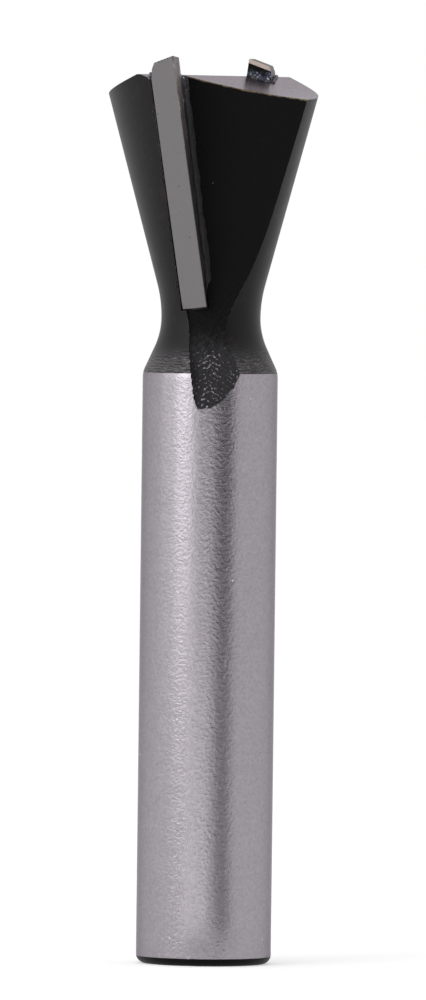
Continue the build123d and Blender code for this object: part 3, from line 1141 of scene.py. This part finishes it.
# %% Chipped tips
tip_values = {
    **in_bit, "Edge foot": Vector((0, 0, 0.2)), "Edge top": Vector((0, -3.551, 14.907)),
    "Heel top": Vector((-1.25, -2.78, 14.62)), "Chips": 46, "Chips on end": 8, "Smallest chip": 0.012,
    "Largest chip": 0.075, "Corner chip": 0.11, "Seed": 11, "Chip material": material_fracture,
    "Material": material_carbide}
tree, given = shape_tree("chipped_tip", tip_values)


def row_between(first, last, count):
    """Points evenly spaced on a straight line."""
    values = {"Count": count, "Start Location": first, "Offset": last}
    return tree.node("GeometryNodeMeshLine", {"mode": "END_POINTS"}, values)


edge_rows = [row_between(given["Edge foot"], given["Edge top"], given["Chips"]),
             row_between(given["Edge top"], given["Heel top"], given["Chips on end"])]
edge_points = tree.node("GeometryNodeJoinGeometry", None, {"Geometry": edge_rows})
edge_points = tree.node("GeometryNodeMeshToPoints", None, {"Mesh": edge_points})
shift = tree.random("FLOAT_VECTOR", (-0.01, -0.01, -0.14), (0.02, 0.02, 0.14), given["Seed"])
edge_points = tree.node("GeometryNodeSetPosition", None, {"Geometry": edge_points, "Offset": shift})
luck = tree.random("FLOAT", 0.0, 1.0, given["Seed"])
size = given["Smallest chip"] + luck * luck * luck * (given["Largest chip"] - given["Smallest chip"])
values = {"Geometry": tree.ball(1.0), "Offset": tree.swirl(1.4)}
rock = tree.node("GeometryNodeSetPosition", None, values)
values = {"Points": edge_points, "Instance": rock, "Scale": tree.joined(size, size, size * 1.4)}
chips = tree.real(tree.node("GeometryNodeInstanceOnPoints", None, values))
corner_size = tree.joined(given["Corner chip"], given["Corner chip"], given["Corner chip"] * 1.2)
corner = tree.moved(rock, given["Edge top"], size=corner_size)
rocks = [tree.painted(made, given["Chip material"]) for made in (chips, corner)]
chipped = tree.boolean(given["Geometry"], rocks)
ground_part = tree.node("GeometryNodeMaterialSelection", None, {"Material": given["Material"]})
finish_tree(tree, in_the_bit(tree, chipped, given), given["Material"], ground_part)


def half_turned(piece, name):
    """The rear piece: the front one turned by half a turn about the bit's axis."""
    mesh = piece.data.copy()
    mesh.name = name
    mesh.transform(Matrix.Rotation(math.pi, 4, "Z"))
    return linked(name, mesh)


tip_front = run_tree(tip_start, tree, tip_values, "carbide_tip_front_dressed")
tips = {"front": tip_front, "rear": half_turned(tip_front, "carbide_tip_rear_dressed")}
print("tip:", len(tip_front.data.polygons), "faces")

# %% [markdown]
# ## The braze
#
# Braze is a silver alloy that melts under the torch and is drawn into the gap by itself. What
# doesn't fit is squeezed out: a bead in the flute's corner, small drops beside the heel and a
# fillet where the tip leaves the end of the steel. The film and the bead are a copy of their
# solid, cut finely along their length and made uneven by noise. The bead thins out to nothing at
# its foot. The drops are small balls along two lines that are found by probing the steel.

# %% Film and bead
BEAD_STEP = 0.15
BEAD_CUTS = 93
LANE_STEP = 0.11
LANE_CUTS = 3
BEAD_SIZE = 0.9
BEAD_UNEVEN = 0.07
LUMP_GAIN = 2.2
BEAD_TAPER = 1.6

work = solid_copy("braze_front")
for number in range(1, BEAD_CUTS + 1):
    sliced(work, (0, 0, number * BEAD_STEP), (0, 0, 1))
for number in range(1, LANE_CUTS + 1):
    sliced(work, (number * LANE_STEP, 0, 0), (1, 0, 0))
    sliced(work, (0, floor_in - number * LANE_STEP, 0), (0, 1, 0))
moved = 0
for vertex in work.verts:
    out, depth, high = vertex.co
    if out > 0.01 and depth < floor_in + 0.01:
        share = min(1.0, max(0.0, high / BEAD_TAPER)) ** 0.7
        lump = noise.noise(vertex.co * 1.3) + 0.5 * noise.noise(vertex.co * 4.1)
        size = share * (BEAD_SIZE + BEAD_UNEVEN * LUMP_GAIN * lump)
        vertex.co.x = out * size
        vertex.co.y = floor_in + (depth - floor_in) * size
        moved += 1
braze_start = as_object("braze_blank", work, material_braze)
print("braze:", moved, "points of the bead moved")

# %% Lines that the drops lie on
HEEL_PROBES = 36
HEEL_SIDE = -1.66
DROP_CHANCE = 0.45
PROBE_OFF = 0.03
PROBE_TOP = 18
FILLET_FROM = 12.0
DOWN = (0, 0, -1)

to_bit = Matrix.Scale(MM, 4) @ rake
from_bit = to_bit.inverted()
steel_tree = BVHTree.FromObject(body, bpy.context.evaluated_depsgraph_get())


def on_steel(place, direction):
    """Where a line in the tip's frame first meets the steel, or None."""
    start = to_bit @ Vector(place)
    hit = steel_tree.ray_cast(start, (to_bit.to_3x3() @ Vector(direction)).normalized())[0]
    return from_bit @ hit if hit else None


random.seed(5)
heel_probes = [((HEEL_SIDE - 0.05 * random.random(), -CUT_REACH, 0.5 + 0.36 * k + 0.2 * random.random()),
                (0, 1, 0)) for k in range(HEEL_PROBES)]
beside_seat = seat_low.x - PROBE_OFF
behind_seat = seat_high.y + PROBE_OFF
roof_probes = [((beside_seat + 0.05 * k, behind_seat, PROBE_TOP), DOWN) for k in range(33)]
roof_probes += [((beside_seat, behind_seat - 0.06 * k, PROBE_TOP), DOWN) for k in range(60)]
heel_points = [on_steel(*probe) for probe in heel_probes]
roof_points = [on_steel(*probe) for probe in roof_probes]
heel_points = [point for point in heel_points if point and random.random() < DROP_CHANCE]
roof_points = [point for point in roof_points if point and point.z > FILLET_FROM]
print(len(heel_points), "drops beside the heel,", len(roof_points), "in the fillet")

# %% Braze with its drops
def points_object(name, points):
    """Loose points, for a tree to set pieces on."""
    mesh = bpy.data.meshes.new(name)
    mesh.from_pydata([tuple(point) for point in points], [], [])
    return linked(name, mesh)


heel_line = points_object("heel_line", heel_points)
roof_line = points_object("roof_line", roof_points)
braze_values = {
    **in_bit, "Heel line": heel_line, "Roof line": roof_line, "Heel drop": 0.075, "Roof drop": 0.13,
    "Seed": 3, "Material": material_braze}
tree, given = shape_tree("squeezed_braze", braze_values)
luck = tree.random("FLOAT", 0.4, 1.0, given["Seed"])
drop = tree.ball(1.0)
pieces = [given["Geometry"]]
for line_name, size_name in (("Heel line", "Heel drop"), ("Roof line", "Roof drop")):
    line = tree.node("GeometryNodeObjectInfo", None, {"Object": given[line_name]}, out="Geometry")
    points = tree.node("GeometryNodeMeshToPoints", None, {"Mesh": line})
    size = luck * given[size_name]
    values = {"Points": points, "Instance": drop, "Scale": tree.joined(size, size, size)}
    drops = tree.real(tree.node("GeometryNodeInstanceOnPoints", None, values))
    push = tree.scaled(tree.swirl(4.0), size * 1.3)
    pieces.append(tree.node("GeometryNodeSetPosition", None, {"Geometry": drops, "Offset": push}))
joined = tree.node("GeometryNodeJoinGeometry", None, {"Geometry": pieces})
finish_tree(tree, in_the_bit(tree, joined, given), given["Material"])

braze_front = run_tree(braze_start, tree, braze_values, "braze_front_dressed")
bpy.data.objects.remove(heel_line)
bpy.data.objects.remove(roof_line)
brazes = {"front": braze_front, "rear": half_turned(braze_front, "braze_rear_dressed")}
print("braze:", len(braze_front.data.polygons), "faces")

# %% [markdown]
# ## Hand over
#
# Every piece rides on the one body of the part, and the solid it stands for is hidden. The table
# beside each piece lists the material slot it takes its finish from and the solid it stands for.

# %% Bodies and hidden solids
dressed = [(body, "tool_steel", "body")]
dressed += [(piece, "cemented_carbide", "carbide_tip_" + end) for end, piece in tips.items()]
dressed += [(piece, "braze_metal", "braze_" + end) for end, piece in brazes.items()]
for piece, slot, solid in dressed:
    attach(piece, "root")
    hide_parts(solid)


# %% The view settings stay plain
scene.view_settings.view_transform = "Standard"
